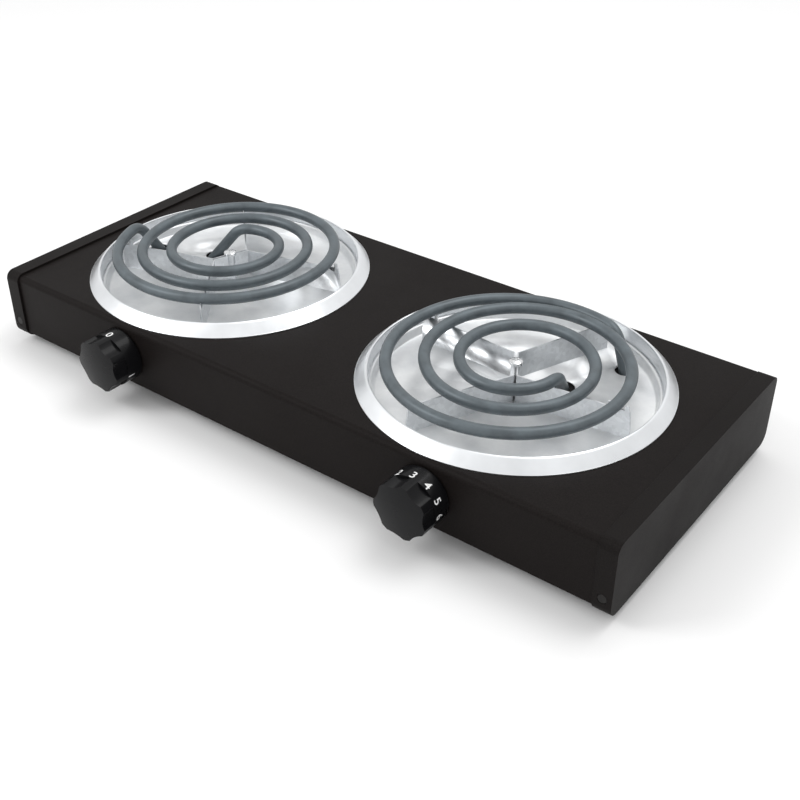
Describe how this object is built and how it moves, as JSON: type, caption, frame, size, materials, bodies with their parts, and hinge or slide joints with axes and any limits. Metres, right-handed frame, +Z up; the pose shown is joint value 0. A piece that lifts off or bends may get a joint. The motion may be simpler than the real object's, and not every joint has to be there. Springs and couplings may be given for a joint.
{
  "type": "hot plate burner",
  "caption": "Free-standing double electric hot plate: a low folded-sheet housing with end caps, two spiral tube burners over drip bowls, and two front dials that set each burner's heat.",
  "frame": {"origin": "On the resting plane under the four feet, in the middle of the overall outline.", "axes": "+X along the length to the right end cap, +Y from the dial side to the back, +Z up."},
  "size_m": [0.482, 0.2276, 0.0728],
  "materials": {
    "body_paint": "fine-textured, semi-matt baked enamel",
    "cap_paint": "fine-textured, semi-matt, slightly greyer than the housing",
    "ring_steel": "satin, turned on the band",
    "bowl_aluminium": "bright, rolled, lightly scratched",
    "coil_tube": "blue-grey heated alloy sheath, satin",
    "bracket_steel": "galvanised with spangle",
    "screw_steel": "zinc plated",
    "dark_screw": "blackened",
    "inner_steel": "plain zinc-coated sheet",
    "block_ceramic": "dark, unglazed, matt",
    "thermostat_steel": "plain stamped case",
    "knob_plastic": "glossy moulded phenolic",
    "lead_cover": "glass-fibre sleeve",
    "earth_cover": "plain sleeve",
    "earth_brass": "plain",
    "gland_plastic": "moulded, matt",
    "foot_rubber": "matt moulded rubber"
  },
  "bodies": {
    "appliance": {"housing_shell": "body_paint", "base_plate": "inner_steel", "left_end_cap": "cap_paint", "right_end_cap": "cap_paint", "left_trim_ring": "ring_steel", "right_trim_ring": "ring_steel", "left_drip_bowl": "bowl_aluminium", "right_drip_bowl": "bowl_aluminium", "left_heating_coil": "coil_tube", "right_heating_coil": "coil_tube", "left_bracket_strip_a": "bracket_steel", "left_bracket_strip_b": "bracket_steel", "right_bracket_strip_a": "bracket_steel", "right_bracket_strip_b": "bracket_steel", "left_centre_screw": "screw_steel", "right_centre_screw": "screw_steel", "left_centre_nut": "screw_steel", "right_centre_nut": "screw_steel", "left_burner_bridge": "inner_steel", "right_burner_bridge": "inner_steel", "left_terminal_block": "block_ceramic", "right_terminal_block": "block_ceramic", "block_screws": "screw_steel", "left_thermostat": "thermostat_steel", "right_thermostat": "thermostat_steel", "left_panel_nut": "screw_steel", "right_panel_nut": "screw_steel", "left_wiring": "lead_cover", "right_wiring": "lead_cover", "mains_block": "block_ceramic", "mains_block_screw": "screw_steel", "earth_lead": "earth_cover", "earth_screw": "earth_brass", "cord_gland": "gland_plastic", "gland_nut": "gland_plastic", "front_left_foot": "foot_rubber", "front_right_foot": "foot_rubber", "back_left_foot": "foot_rubber", "back_right_foot": "foot_rubber", "foot_screws": "screw_steel", "base_screws": "screw_steel", "cap_screws": "dark_screw"},
    "left_dial": {"left_knob": "knob_plastic", "left_shaft": "screw_steel"},
    "right_dial": {"right_knob": "knob_plastic", "right_shaft": "screw_steel"}
  },
  "joints": [
    {"name": "left_dial_turn", "type": "hinge", "parent": "appliance", "child": "left_dial", "pos_m": [-0.1255, -0.08925, 0.0322], "axis": [0, -1, 0], "range_deg": [0, 275]},
    {"name": "right_dial_turn", "type": "hinge", "parent": "appliance", "child": "right_dial", "pos_m": [0.12, -0.08925, 0.0322], "axis": [0, -1, 0], "range_deg": [-177, 98]}
  ]
}
